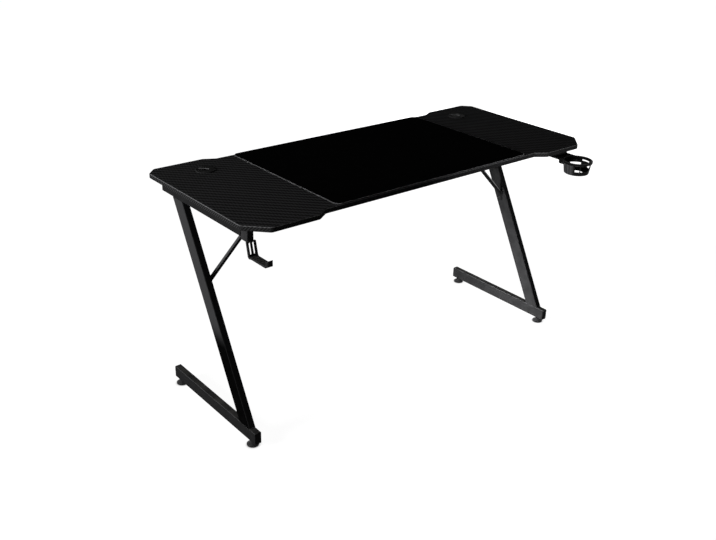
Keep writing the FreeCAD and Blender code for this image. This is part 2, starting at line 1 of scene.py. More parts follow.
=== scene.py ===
# %% [markdown]
# # A gaming desk
#
# The rigid pieces of the desk come from a CAD model, which is loaded here in its own frame: +X runs along
# the desk to the user's right, +Y from the user to the rear edge and +Z up, in metres, with the floor at
# zero. The lesson gives these pieces their finishes, lays a cloth mouse pad in place of the plain CAD one,
# adds the weld beads that a CAD model leaves out, and sets up the camera and the studio.

# %% the CAD frame
import json
import math

import bmesh
import bpy
from mathutils import Matrix, Vector, noise


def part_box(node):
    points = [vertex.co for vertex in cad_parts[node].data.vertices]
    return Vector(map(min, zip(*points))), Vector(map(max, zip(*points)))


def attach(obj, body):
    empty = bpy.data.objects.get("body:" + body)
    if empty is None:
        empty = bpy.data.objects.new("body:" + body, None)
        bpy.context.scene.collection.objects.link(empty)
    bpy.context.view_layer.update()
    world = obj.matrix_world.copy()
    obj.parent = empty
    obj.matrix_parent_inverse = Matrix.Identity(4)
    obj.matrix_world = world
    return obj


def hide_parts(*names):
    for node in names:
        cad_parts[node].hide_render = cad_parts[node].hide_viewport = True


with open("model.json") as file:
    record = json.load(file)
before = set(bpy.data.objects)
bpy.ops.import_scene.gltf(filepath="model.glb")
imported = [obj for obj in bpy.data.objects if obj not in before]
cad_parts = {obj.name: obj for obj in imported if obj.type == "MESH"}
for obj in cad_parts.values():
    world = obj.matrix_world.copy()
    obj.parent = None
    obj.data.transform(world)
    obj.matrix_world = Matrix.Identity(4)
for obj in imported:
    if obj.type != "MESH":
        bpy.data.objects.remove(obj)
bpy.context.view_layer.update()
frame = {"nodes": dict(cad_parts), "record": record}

# %% [markdown]
# ## The camera
#
# The picture is taken from the user's left, at the eye height of a standing person, with a normal lens. The
# place, the three turns and the focal length were found by fitting the outline of the board, the legs and
# the feet to the picture. A camera can also be aimed by a constraint, but turning it first about the
# vertical, then down, then about the line of sight keeps the three angles easy to read.

# %% camera
IMAGE_WIDTH = 716
SENSOR_WIDTH = 36.0
FOCAL_PIXELS = 888.28
CAMERA_PLACE = Vector((-1.848, -2.0424, 1.6457))
CAMERA_AZIMUTH = 0.698
CAMERA_DROP = 0.443
CAMERA_ROLL = 0.029
# how far the picture's middle lies from the lens axis, in pixels
LENS_SHIFT = (0.19, 0.34)
QUARTER_TURN = math.pi / 2.0
MATRIX_SIZE = 4


def add_camera():
    lens = bpy.data.cameras.new("camera")
    lens.sensor_fit = "HORIZONTAL"
    lens.sensor_width = SENSOR_WIDTH
    lens.lens = FOCAL_PIXELS * SENSOR_WIDTH / IMAGE_WIDTH
    lens.shift_x, lens.shift_y = [pixels / IMAGE_WIDTH for pixels in LENS_SHIFT]
    camera = bpy.data.objects.new("camera", lens)
    camera.matrix_world = (
        Matrix.Translation(CAMERA_PLACE)
        @ Matrix.Rotation(-CAMERA_AZIMUTH, MATRIX_SIZE, "Z")
        @ Matrix.Rotation(QUARTER_TURN - CAMERA_DROP, MATRIX_SIZE, "X")
        @ Matrix.Rotation(CAMERA_ROLL, MATRIX_SIZE, "Z")
    )
    bpy.context.scene.collection.objects.link(camera)
    bpy.context.scene.camera = camera
    return camera


camera = add_camera()
bpy.context.scene.view_settings.view_transform = "Standard"
print("camera with a lens of", round(camera.data.lens, 2), "mm")

# %% [markdown]
# ## Wiring shader nodes
#
# Every finish below is a small network of shader nodes. Adding nodes by hand takes three lines each, so a
# few helpers take that up: one feeds a socket with a link or with a plain number, one adds a node, one starts
# a material, and one makes the near-black greys that this desk is painted in.

# %% node helpers
def feed(tree, socket, value):
    """Links an output to a socket, or sets the socket's own value."""
    if isinstance(value, bpy.types.NodeSocket):
        tree.links.new(value, socket)
    else:
        socket.default_value = value


def node(tree, kind, inputs=None, **settings):
    """One shader node: settings are its options, inputs are its sockets by name."""
    made = tree.nodes.new(kind)
    for name, value in settings.items():
        setattr(made, name, value)
    for name, value in (inputs or {}).items():
        feed(tree, made.inputs[name], value)
    return made


def new_material(name):
    material = bpy.data.materials.new(name)
    material.use_nodes = True
    return material, material.node_tree, material.node_tree.nodes["Principled BSDF"]


def grey(value, blue=1.03):
    """A neutral colour with a trace of blue, as black paints and plastics have."""
    return (value, value, value * blue, 1.0)


print("node helpers ready")

# %% [markdown]
# ### Maths, mixes and ranges
#
# A mask is a value from 0 to 1 that says where an effect shows. Nearly every finish works its masks out with
# a few maths nodes, widens or narrows them with a range, and mixes two colours by them. A colour ramp could
# do the last two at once, but a range has its limits as plain numbers, which can be named.

# %% maths helpers
# the Mix node keeps its sockets for values and for colours side by side, so they are found by their places
MIX_SHARE = 0
VALUE_FIRST = 2
VALUE_SECOND = 3
COLOUR_FIRST = 6
COLOUR_SECOND = 7
COLOUR_RESULT = 2


def operated(tree, kind, operation, values):
    made = node(tree, kind, operation=operation)
    for socket, value in zip(made.inputs, values):
        feed(tree, socket, value)
    return made.outputs


def maths(tree, operation, *values):
    return operated(tree, "ShaderNodeMath", operation, values)["Value"]


def vector_maths(tree, operation, *values):
    return operated(tree, "ShaderNodeVectorMath", operation, values)["Vector"]


def dot(tree, *directions):
    """1 where two directions agree, 0 where they are square to each other."""
    return operated(tree, "ShaderNodeVectorMath", "DOT_PRODUCT", directions)["Value"]


def choose(tree, share, first, second):
    """The first value where share is 0, the second where it is 1."""
    made = node(tree, "ShaderNodeMix", data_type="FLOAT")
    feed(tree, made.inputs[MIX_SHARE], share)
    feed(tree, made.inputs[VALUE_FIRST], first)
    feed(tree, made.inputs[VALUE_SECOND], second)
    return made.outputs[0]


def mixed(tree, share, first, second):
    """The first colour where share is 0, the second where it is 1."""
    made = node(tree, "ShaderNodeMix", data_type="RGBA")
    feed(tree, made.inputs[MIX_SHARE], share)
    feed(tree, made.inputs[COLOUR_FIRST], first)
    feed(tree, made.inputs[COLOUR_SECOND], second)
    return made.outputs[COLOUR_RESULT]


def ranged(tree, value, low, high, to_low=0.0, to_high=1.0):
    """Takes low to to_low and high to to_high, with a soft start and end."""
    inputs = {"Value": value, "From Min": low, "From Max": high, "To Min": to_low, "To Max": to_high}
    return node(tree, "ShaderNodeMapRange", inputs, interpolation_type="SMOOTHSTEP").outputs[0]


print("maths helpers ready")

# %% [markdown]
# ### Places, normals, noise and relief
#
# What a mask starts from is where a point lies, which way its face looks, or a noise. Places and noises are
# in the object's own coordinates, so that a finish moves along with its piece. The normals here are those of
# the scene, because dust falls from above, and the painted top light comes from above, whichever way a piece
# is turned. Relief that is finer than the mesh is a bump, which only tilts the normal.

# %% place and relief helpers
def object_place(tree):
    return node(tree, "ShaderNodeTexCoord").outputs["Object"]


def normal_of(tree, kind="Normal"):
    """The direction in which the surface looks. The True Normal is that of the flat face."""
    return node(tree, "ShaderNodeNewGeometry").outputs[kind]


def split(tree, vector):
    """The X, Y and Z of a place or a direction."""
    return node(tree, "ShaderNodeSeparateXYZ", {"Vector": vector}).outputs


def object_noise(tree, scale, detail):
    """A noise in the object's own coordinates. scale is one over its size in metres."""
    inputs = {"Vector": object_place(tree), "Scale": scale, "Detail": detail}
    return node(tree, "ShaderNodeTexNoise", inputs).outputs[0]


def streak_noise(tree, across, detail):
    """A noise that changes in one direction only, for streaks and fibres."""
    inputs = {"W": across, "Scale": 1.0, "Detail": detail}
    return node(tree, "ShaderNodeTexNoise", inputs, noise_dimensions="1D").outputs[0]


def bumped(tree, height, distance, normal):
    inputs = {"Height": height, "Distance": distance, "Normal": normal}
    return node(tree, "ShaderNodeBump", inputs).outputs[0]


print("place and relief helpers ready")

# %% [markdown]
# ## The studio
#
# The desk is black, and only its left sides are bright: a tall soft lamp stands far to the left, a little
# behind the desk, so that the faces towards the user stay dark. It shines down at a low angle, so the board
# shades the upper part of the right leg. A small lamp under the board brightens that leg towards the floor,
# and another one in front of the desk draws out the board's front edge. The last lamp stands low behind the
# desk on the right: it hardly shows from the camera, but without it the desk would be a black shape from the
# other sides.

# %% lamps
AIM = (-0.2, 0.1, 0.6)
LAMPS = {
    "key": {
        "place": (-4.0, 0.6, 1.7), "aim": AIM, "size": (1.3, 1.8), "power": 100.0, "spread": math.pi,
    },
    "low": {
        "place": (-0.52, 0.03, 0.15), "aim": (0.65, -0.08, 0.13), "size": (0.3, 0.12), "power": 3.4,
        "spread": 1.0,
    },
    "edge": {
        "place": (-0.12, -0.95, 0.735), "aim": (0.7, -0.25, 0.735), "size": (0.1, 0.03), "power": 0.85,
        "spread": 1.5,
    },
    "back": {
        "place": (2.8, 2.2, 0.5), "aim": AIM, "size": (1.0, 0.4), "power": 50.0, "spread": math.pi,
    },
}


def add_lamp(name, place, aim, size, power, spread):
    light = bpy.data.lights.new(name, "AREA")
    light.shape = "RECTANGLE"
    light.size, light.size_y = size
    light.energy = power
    light.spread = spread
    lamp = bpy.data.objects.new(name, light)
    lamp.location = place
    lamp.rotation_euler = (Vector(aim) - lamp.location).to_track_quat("-Z", "Y").to_euler()
    bpy.context.scene.collection.objects.link(lamp)


for lamp_name, lamp_values in LAMPS.items():
    add_lamp(lamp_name, **lamp_values)
print("lamps:", ", ".join(LAMPS))

# %% [markdown]
# ### The world
#
# A product picture has a plain white background. A white world would light the desk from all sides and wash
# the black out, so the Light Path node makes it white only where it is looked at, by the camera or in a
# reflection, and nearly dark as a source of light.

# %% world
AMBIENT = 0.03
WHITE = (1.0, 1.0, 1.0, 1.0)


def seen_directly(tree):
    """1 for rays from the camera, a mirror-like face or through glass, and 0 for light that only fills."""
    path = node(tree, "ShaderNodeLightPath").outputs
    plain = maths(tree, "MAXIMUM", path["Is Camera Ray"], path["Is Glossy Ray"])
    return maths(tree, "MAXIMUM", plain, path["Is Transmission Ray"])


def add_world():
    world = bpy.data.worlds.new("studio")
    world.use_nodes = True
    tree = world.node_tree
    background = tree.nodes["Background"]
    strength = maths(tree, "MULTIPLY_ADD", seen_directly(tree), 1.0 - AMBIENT, AMBIENT)
    feed(tree, background.inputs["Strength"], strength)
    background.inputs["Color"].default_value = WHITE
    bpy.context.scene.world = world


add_world()
print("white world that lights with", AMBIENT)

# %% [markdown]
# ### The floor
#
# The floor is white in the same way. Near the desk it glows a little less than white, so it can take the
# desk's shadow, and far away it is as white as the world. Close under the feet even a bright floor is dark,
# and there an occlusion node lowers its glow as a painted contact shadow. From below the floor is clear, so
# that the underside of the desk can be looked at too.

# %% floor
FLOOR_REACH = 25.0
FLOOR_BELOW = 0.0002
FLOOR_TONE = (0.3, 0.3, 0.3, 1.0)
FLOOR_GLOW = 0.955
GLOW_NEAR = 1.5
GLOW_FAR = 3.5
CONTACT_REACH = 0.012
CONTACT_SAMPLES = 16
# the places of the two shaders that a Mix Shader node takes
SHADER_FIRST = 1
SHADER_SECOND = 2


def floor_finish():
    material, tree, shader = new_material("floor")
    shader.inputs["Base Color"].default_value = FLOOR_TONE
    shader.inputs["Roughness"].default_value = 1.0
    shader.inputs["Specular IOR Level"].default_value = 0.0
    shader.inputs["Emission Color"].default_value = WHITE
    away = operated(tree, "ShaderNodeVectorMath", "LENGTH", [object_place(tree)])["Value"]
    white = ranged(tree, away, GLOW_NEAR, GLOW_FAR, FLOOR_GLOW, 1.0)
    glow = maths(tree, "MULTIPLY", seen_directly(tree), white)
    reach = {"Distance": CONTACT_REACH}
    # a painted contact shadow: the occlusion lowers the glow close under the feet
    open_sky = node(tree, "ShaderNodeAmbientOcclusion", reach, samples=CONTACT_SAMPLES).outputs["AO"]
    feed(tree, shader.inputs["Emission Strength"], maths(tree, "MULTIPLY", glow, open_sky))
    from_below = node(tree, "ShaderNodeNewGeometry").outputs["Backfacing"]
    clear = node(tree, "ShaderNodeBsdfTransparent")
    surface = node(tree, "ShaderNodeMixShader", {"Fac": from_below})
    feed(tree, surface.inputs[SHADER_FIRST], shader.outputs[0])
    feed(tree, surface.inputs[SHADER_SECOND], clear.outputs[0])
    feed(tree, tree.nodes["Material Output"].inputs["Surface"], surface.outputs[0])
    return material


def add_floor():
    mesh = bpy.data.meshes.new("floor")
    form = bmesh.new()
    bmesh.ops.create_grid(form, x_segments=1, y_segments=1, size=FLOOR_REACH)
    form.to_mesh(mesh)
    form.free()
    mesh.materials.append(floor_finish())
    floor = bpy.data.objects.new("floor", mesh)
    floor.location.z = -FLOOR_BELOW
    bpy.context.scene.collection.objects.link(floor)


add_floor()
print("white floor with a glow of", FLOOR_GLOW, "near the desk")

# %% [markdown]
# ## Effects that several finishes share
#
# Powder coat, moulded plastic and blackened steel differ in colour and gloss, but all of them have a fine
# grain, edges that are slightly rounded and rubbed, a painted highlight along the upper ones, and some dust
# on what faces up, which also paints those faces lighter as if lit from above. Each of these effects is a
# node group with named sockets, so that a finish only says how much of it there is. The last group is a twill
# weave, used large on the board's wrap and small on the pad's cloth.

# %% group helpers
VALUE = "NodeSocketFloat"
VECTOR = "NodeSocketVector"


def new_group(name, inputs, outputs):
    """An empty node group: inputs are the names of its values, outputs are names with their kinds."""
    tree = bpy.data.node_groups.new(name, "ShaderNodeTree")
    for socket in inputs:
        tree.interface.new_socket(socket, in_out="INPUT", socket_type=VALUE)
    for socket, kind in outputs.items():
        tree.interface.new_socket(socket, in_out="OUTPUT", socket_type=kind)
    return tree, tree.nodes.new("NodeGroupInput").outputs, tree.nodes.new("NodeGroupOutput").inputs


def grouped(tree, name, **inputs):
    """The outputs of a node group used in a material."""
    made = node(tree, "ShaderNodeGroup", node_tree=bpy.data.node_groups[name])
    for socket, value in inputs.items():
        feed(tree, made.inputs[socket], value)
    return made.outputs


print("group helpers ready")

# %% [markdown]
# ### Grain
#
# A picture of a grain would need unwrapped faces and would show its repeats, so the grain is made of two
# noises in the object's own coordinates: one at the size of the grain, for the relief, and one forty times
# wider, for the cloudy change of tone that a sprayed or moulded face has.

# %% grain group
GRAIN_DETAIL = 3.0
CLOUD_DETAIL = 4.0
CLOUD_SHARE = 1.0 / 40.0
CLOUD_RANGE = (0.3, 0.7)


def make_grain():
    tree, given, result = new_group("fine_grain", ["Size"], {"Height": VALUE, "Cloud": VALUE})
    scale = maths(tree, "DIVIDE", 1.0, given["Size"])
    wide = object_noise(tree, maths(tree, "MULTIPLY", scale, CLOUD_SHARE), CLOUD_DETAIL)
    feed(tree, result["Height"], object_noise(tree, scale, GRAIN_DETAIL))
    feed(tree, result["Cloud"], ranged(tree, wide, *CLOUD_RANGE))


make_grain()
print("grain group made")

# %% [markdown]
# ### Rounded and rubbed edges
#
# A CAD edge is perfectly sharp, while a real one has a small radius that catches the light. Bevelling every
# mesh would change the CAD pieces, so the Bevel node only gives the normal that such a rounded edge would
# have. Where it differs from the face's own normal there is an edge, so the same difference is the mask for
# rubbed paint, broken up by a noise.

# %% edge group
BEVEL_SAMPLES = 4
# how well the two normals agree where an edge starts and where it is full
EDGE_RANGE = (0.995, 0.85)
RUB_SIZE = 0.012
RUB_DETAIL = 5.0
RUB_RANGE = (0.35, 0.65)
LEAST_RUB = 0.3


def make_edge():
    outputs = {"Wear": VALUE, "Normal": VECTOR}
    tree, given, result = new_group("edge_wear", ["Radius", "Amount"], outputs)
    bevel = node(tree, "ShaderNodeBevel", {"Radius": given["Radius"]}, samples=BEVEL_SAMPLES)
    rounded = bevel.outputs["Normal"]
    edge = ranged(tree, dot(tree, rounded, normal_of(tree)), *EDGE_RANGE)
    rub = object_noise(tree, 1.0 / RUB_SIZE, RUB_DETAIL)
    patchy = maths(tree, "MULTIPLY", edge, ranged(tree, rub, *RUB_RANGE, LEAST_RUB, 1.0))
    feed(tree, result["Wear"], maths(tree, "MULTIPLY", patchy, given["Amount"]))
    feed(tree, result["Normal"], rounded)


make_edge()
print("edge group made")

# %% [markdown]
# ### The painted highlight on an arris
#
# The bevelled or rounded corner between an upright and a level face is called an arris. It catches the lamp,
# so it shows as a thin light line, which is painted into the colour here as a painted highlight. The CAD
# model has these corners as narrow sloping faces, so the slope of the face alone finds them.

# %% arris highlight group
ARRIS_SLOPE = 0.7
ARRIS_REACH = 0.22


def make_arris_highlight():
    tree, _, result = new_group("arris_highlight", [], {"Mask": VALUE})
    up = split(tree, normal_of(tree, "True Normal"))["Z"]
    feed(tree, result["Mask"], maths(tree, "COMPARE", up, ARRIS_SLOPE, ARRIS_REACH))


make_arris_highlight()
print("arris group made")

# %% [markdown]
# ### Dust and painted top light
#
# Dust lies only on faces that look up, and its paler tone also stands in for the light from above, so it is
# partly painted light. From this far it is nothing but a paler tone, so it needs no meshes: the mask is the
# upward part of the normal, and a noise makes it uneven.

# %% dust and top light group
DUST_SIZE = 0.06
DUST_DETAIL = 6.0
DUST_SLOPE = (0.6, 1.0)
DRIFT_RANGE = (0.3, 0.75)


def make_dust_and_top_light():
    tree, given, result = new_group("dust_and_top_light", ["Amount"], {"Dust and top light": VALUE})
    up = split(tree, normal_of(tree))["Z"]
    drift = object_noise(tree, 1.0 / DUST_SIZE, DUST_DETAIL)
    lying = maths(tree, "MULTIPLY", ranged(tree, up, *DUST_SLOPE), ranged(tree, drift, *DRIFT_RANGE))
    feed(tree, result["Dust and top light"], maths(tree, "MULTIPLY", lying, given["Amount"]))


make_dust_and_top_light()
print("dust group made")

# %% [markdown]
# ### Twill weave
#
# A weave has two directions. On level faces they are X and Y, and on upright faces the weave runs along the
# edge, so they are worked out from the face's normal. It is three times finer there, as on the narrow band
# that covers a board's edge. Unwrapping the faces would do this too, but takes a seam for every edge.

# %% directions of the weave
FLAT_FROM = 0.8
BAND_SCALE = 3.0


def twill_directions(tree):
    """The weave's directions, X and Y or along and up, and a mask that is 1 where the face is level."""
    coordinates = node(tree, "ShaderNodeTexCoord").outputs
    place = split(tree, coordinates["Object"])
    face = split(tree, coordinates["Normal"])
    level = maths(tree, "GREATER_THAN", maths(tree, "ABSOLUTE", face["Z"]), FLAT_FROM)
    sideways = maths(tree, "MULTIPLY", place["Y"], face["X"])
    along = maths(tree, "SUBTRACT", maths(tree, "MULTIPLY", place["X"], face["Y"]), sideways)
    along = maths(tree, "MULTIPLY", along, BAND_SCALE)
    up = maths(tree, "MULTIPLY", place["Z"], BAND_SCALE)
    return (choose(tree, level, along, place["X"]), choose(tree, level, up, place["Y"])), level


def arch(tree, share):
    """0 at both ends of a stretch and 1 in its middle."""
    return maths(tree, "SINE", maths(tree, "MULTIPLY", share, math.pi))


print("upright faces have tows", BAND_SCALE, "times finer")

# %% [markdown]
# ### Which tow lies on top
#
# In a twill every tow passes over two others and under two, and each row is set one tow further, which makes
# the diagonal ridges. A cell's row plus its column, counted by fours, says which tow lies on top. Its dome
# across the tow and its crown along it give the relief, and thin streaks along it are the fibres. This is all
# worked out from the place, so no picture of a cloth is needed.

# %% twill group
PASSED_OVER = 2.0
HALF_STEP = 0.5
DOME_SHARE = 0.6
FIBRES_ACROSS = 14.0
FIBRE_DETAIL = 2.0


def make_twill():
    outputs = {"Warp": VALUE, "Height": VALUE, "Fibre": VALUE, "Level": VALUE}
    tree, given, result = new_group("twill", ["Tow"], outputs)
    directions, level = twill_directions(tree)
    cells = [maths(tree, "DIVIDE", value, given["Tow"]) for value in directions]
    counts = [maths(tree, "FLOOR", value) for value in cells]
    parts = [maths(tree, "FRACT", value) for value in cells]
    step = maths(tree, "FLOORED_MODULO", maths(tree, "ADD", *counts), 2.0 * PASSED_OVER)
    warp = maths(tree, "LESS_THAN", step, PASSED_OVER - HALF_STEP)
    across = choose(tree, warp, parts[1], parts[0])
    weft_run = maths(tree, "ADD", maths(tree, "SUBTRACT", step, PASSED_OVER), parts[0])
    run = choose(tree, warp, weft_run, maths(tree, "ADD", step, parts[1]))
    dome = arch(tree, across)
    crown = arch(tree, maths(tree, "DIVIDE", run, PASSED_OVER))
    strand = maths(tree, "MULTIPLY", choose(tree, warp, cells[1], cells[0]), FIBRES_ACROSS)
    feed(tree, result["Warp"], warp)
    feed(tree, result["Height"], choose(tree, DOME_SHARE, crown, dome))
    feed(tree, result["Fibre"], streak_noise(tree, strand, FIBRE_DETAIL))
    feed(tree, result["Level"], level)


make_twill()
print("twill group made")

# %% [markdown]
# ## Finishes of the hard parts
#
# The legs have a matt powder coat, the small parts are moulded black plastic, the cup holder is a polished
# one, and the screws are blackened steel. They share one recipe, and a table says what differs. The braces,
# the grommets, the hook and the levelling feet are a shade darker or lighter than other pieces of the same
# material, so they have rows of their own. Dark and light are the two tones of the grain, worn is the tone of
# a rubbed edge and arris_highlight that of the painted highlight on the arris. They are linear colours.
# Grain, relief and edge are lengths in metres, and wear and dust_and_top_light are shares; the second is dust
# that also paints the upward faces lighter as if lit from above.

# %% table of looks
LOOKS = {
    "leg_paint": {
        "dark": 0.021, "light": 0.028, "worn": 0.06, "arris_highlight": 0.085, "grain": 0.0008, "relief": 0.00008,
        "rough": (0.5, 0.65), "specular": 0.002, "metal": 0.0, "edge": 0.0012, "wear": 0.5, "dust_and_top_light": 0.4,
    },
    "brace_paint": {
        "dark": 0.012, "light": 0.018, "worn": 0.04, "arris_highlight": 0.14, "grain": 0.0008, "relief": 0.00005,
        "rough": (0.35, 0.5), "specular": 0.002, "metal": 0.0, "edge": 0.0008, "wear": 0.3, "dust_and_top_light": 0.1,
    },
    "black_plastic": {
        "dark": 0.018, "light": 0.025, "worn": 0.06, "arris_highlight": 0.1, "grain": 0.0006, "relief": 0.00005,
        "rough": (0.4, 0.55), "specular": 0.006, "metal": 0.0, "edge": 0.0006, "wear": 0.4, "dust_and_top_light": 0.08,
    },
    "cap_plastic": {
        "dark": 0.0006, "light": 0.002, "worn": 0.05, "arris_highlight": 0.02, "grain": 0.0006, "relief": 0.00005,
        "rough": (0.3, 0.45), "specular": 0.002, "metal": 0.0, "edge": 0.0006, "wear": 0.5, "dust_and_top_light": 0.01,
    },
    "hook_plastic": {
        "dark": 0.036, "light": 0.056, "worn": 0.09, "arris_highlight": 0.07, "grain": 0.0009, "relief": 0.0001,
        "rough": (0.4, 0.55), "specular": 0.004, "metal": 0.0, "edge": 0.0008, "wear": 0.4, "dust_and_top_light": 0.3,
    },
    "foot_plastic": {
        "dark": 0.002, "light": 0.005, "worn": 0.02, "arris_highlight": 0.035, "grain": 0.0006, "relief": 0.00002,
        "rough": (0.25, 0.35), "specular": 0.1, "metal": 0.0, "edge": 0.001, "wear": 0.2, "dust_and_top_light": 0.02,
    },
    "gloss_plastic": {
        "dark": 0.006, "light": 0.011, "worn": 0.05, "arris_highlight": 0.03, "grain": 0.004, "relief": 0.00004,
        "rough": (0.2, 0.3), "specular": 0.01, "metal": 0.0, "edge": 0.0008, "wear": 0.3, "dust_and_top_light": 0.02,
    },
    "screw_steel": {
        "dark": 0.02, "light": 0.045, "worn": 0.12, "arris_highlight": 0.08, "grain": 0.0005, "relief": 0.00003,
        "rough": (0.4, 0.55), "specular": 0.1, "metal": 0.6, "edge": 0.0003, "wear": 0.6, "dust_and_top_light": 0.0,
    },
}
# the grommet's liner is like its cap, apart from its walls
LOOKS["liner_plastic"] = LOOKS["cap_plastic"]
print("looks:", ", ".join(LOOKS))

# %% [markdown]
# ### The recipe
#
# Paint, wear and dust lie over each other on the real desk. The recipe mixes them in that order, with the
# painted highlight on the arris last; the dust also paints the upward faces lighter, as painted top light.
# Each layer could be a shader of its own, but mixing only their colours keeps one shader for each finish,
# which is easy to bake and to export.

# %% recipe of a hard finish
DUST_AND_TOP_LIGHT_COLOUR = (0.16, 0.155, 0.145, 1.0)


def hard_finish(name, look, colour_change=None):
    """A finish from the table. colour_change may change the plain colour, also with painted light or shade,
    before wear, dust with its painted top light, and the painted arris highlight.
    """
    material, tree, shader = new_material(name)
    grain = grouped(tree, "fine_grain", Size=look["grain"])
    edge = grouped(tree, "edge_wear", Radius=look["edge"], Amount=look["wear"])
    dust_and_top_light = grouped(tree, "dust_and_top_light", Amount=look["dust_and_top_light"])
    colour = mixed(tree, grain["Cloud"], grey(look["dark"]), grey(look["light"]))
    if colour_change:
        colour = colour_change(tree, colour)
    colour = mixed(tree, edge["Wear"], colour, grey(look["worn"]))
    # dust, which also paints the upward faces lighter as painted top light
    colour = mixed(tree, dust_and_top_light["Dust and top light"], colour, DUST_AND_TOP_LIGHT_COLOUR)
    # a painted highlight on the arris
    colour = mixed(tree, grouped(tree, "arris_highlight")["Mask"], colour, grey(look["arris_highlight"]))
    feed(tree, shader.inputs["Base Color"], colour)
    feed(tree, shader.inputs["Roughness"], ranged(tree, grain["Cloud"], 0.0, 1.0, *look["rough"]))
    feed(tree, shader.inputs["Normal"], bumped(tree, grain["Height"], look["relief"], edge["Normal"]))
    shader.inputs["Specular IOR Level"].default_value = look["specular"]
    shader.inputs["Metallic"].default_value = look["metal"]
    return material


print("recipe ready")

# %% [markdown]
# ### Painted light and shade on the posts
#
# The outer face of the post is dark grey in its upper half and turns nearly black below the middle, although
# both halves lie in one plane. This is painted light and shade: a mask picks the outer face by its distance
# from the desk's middle, and the height above the floor picks the tone.

# %% painted light and shade on the posts
OUTER_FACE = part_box("post_right")[1].x
SHADED_FACE_MARGIN = 0.0012
PAINTED_SHADE_TOP = 0.35
PAINTED_SHADE_BOTTOM = 0.275
PAINTED_POST_LIGHT = grey(0.062)
PAINTED_POST_SHADE = grey(0.0006)


def painted_post_light_and_shade(tree, plain):
    axes = split(tree, object_place(tree))
    outward = maths(tree, "ABSOLUTE", axes["X"])
    face = ranged(tree, outward, OUTER_FACE - SHADED_FACE_MARGIN, OUTER_FACE)
    # painted light on the upper half of the outer face, painted shade below the middle
    upper = ranged(tree, axes["Z"], PAINTED_SHADE_BOTTOM, PAINTED_SHADE_TOP)
    return mixed(tree, face, plain, mixed(tree, upper, PAINTED_POST_SHADE, PAINTED_POST_LIGHT))


# the fade is painted light and shade on the outer faces of the posts
print("the print fades between", PAINTED_SHADE_BOTTOM, "and", PAINTED_SHADE_TOP, "m above the floor")

# %% [markdown]
# ### The walls of the grommets
#
# A grommet is black, but the polished walls of its slot and of its rim mirror the lamp. A mirror in this
# studio would show the white floor as well, so the walls get a lighter colour instead, a painted reflection
# found by their normals.

# %% walls of the grommets
WALL_FROM = 0.3
WALL_TO = 0.8
CAP_WALL_REFLECTION = grey(0.2)
LINER_WALL_REFLECTION = grey(0.06)


def walls_with_painted_reflection(tone):
    """A change of colour that makes the upright faces lighter: a painted reflection."""
    def change(tree, plain):
        up = split(tree, normal_of(tree, "True Normal"))["Z"]
        upright = ranged(tree, maths(tree, "ABSOLUTE", up), WALL_TO, WALL_FROM)
        return mixed(tree, upright, plain, tone)
    return change


print("walls steeper than", round(math.degrees(math.acos(WALL_TO))), "degrees are lighter")

# %% [markdown]
# ### The cup holder's painted reflection
#
# The polished basket mirrors the soft lamp as one grey panel on its left wall, with upright streaks in that
# reflection, and is black elsewhere. This panel and its streaks are a painted reflection, for the same reason
# as the walls of the grommets. The direction from the basket's axis finds the panel, and the normal tells the
# outside from the inside.

# %% panel of the cup holder
CUP_LOW, CUP_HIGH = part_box("cup_holder")
CUP_RADIUS = (CUP_HIGH.x - CUP_LOW.x) / 2.0
CUP_AXIS = (CUP_LOW.x + CUP_RADIUS, CUP_LOW.y + CUP_RADIUS, 0.0)
CUP_RIM = 0.019
LEVEL_ONLY = (1.0, 1.0, 0.0)
OUTSIDE_FROM = 0.5
PANEL_SIDE = (-0.98, 0.2, 0.0)
PANEL_RANGE = (0.78, 0.93)
REFLECTION_LIGHT = grey(0.085)
REFLECTION_DARK = grey(0.045)
STREAKS = 5.0
STREAK_DETAIL = 3.0
STREAK_RANGE = (0.35, 0.65)


def painted_reflection_panel(tree, plain):
    place = object_place(tree)
    offset = vector_maths(tree, "MULTIPLY", vector_maths(tree, "SUBTRACT", place, CUP_AXIS), LEVEL_ONLY)
    outward = vector_maths(tree, "NORMALIZE", offset)
    towards = ranged(tree, dot(tree, outward, PANEL_SIDE), *PANEL_RANGE)
    agree = dot(tree, outward, normal_of(tree, "True Normal"))
    outside = maths(tree, "GREATER_THAN", agree, OUTSIDE_FROM)
    below = maths(tree, "LESS_THAN", split(tree, place)["Z"], CUP_HIGH.z - CUP_RIM)
    axes = split(tree, outward)
    turn = maths(tree, "MULTIPLY", maths(tree, "ARCTAN2", axes["Y"], axes["X"]), STREAKS)
    streak = ranged(tree, streak_noise(tree, turn, STREAK_DETAIL), *STREAK_RANGE)
    share = maths(tree, "MULTIPLY", maths(tree, "MULTIPLY", towards, outside), below)
    # the painted reflection with its streaks, on the outside of the left wall only
    return mixed(tree, share, plain, mixed(tree, streak, REFLECTION_DARK, REFLECTION_LIGHT))


print("basket of", round(2.0 * CUP_RADIUS, 3), "m across")

# %% [markdown]
# ### The light line on the braces
#
# The braces are round bars. The right one shows a thin light line along its upper right side, because gloss
# paint seen at a flat angle mirrors the white room there. So this side alone gets a clear coat, found by its
# normal, and the shader does the rest: the flatter the angle, the brighter the mirror.

# %% light line on the braces
GLOSS_RANGE = (0.05, 0.3)
COAT_IOR = 2.4
COAT_ROUGH = 0.35


def add_gloss_line(material):
    tree = material.node_tree
    shader = tree.nodes["Principled BSDF"]
    axes = split(tree, normal_of(tree, "True Normal"))
    right = ranged(tree, axes["X"], *GLOSS_RANGE)
    upper = ranged(tree, axes["Z"], *GLOSS_RANGE)
    feed(tree, shader.inputs["Coat Weight"], maths(tree, "MULTIPLY", right, upper))
    shader.inputs["Coat IOR"].default_value = COAT_IOR
    shader.inputs["Coat Roughness"].default_value = COAT_ROUGH


print("clear coat with an index of", COAT_IOR, "on the upper right side")

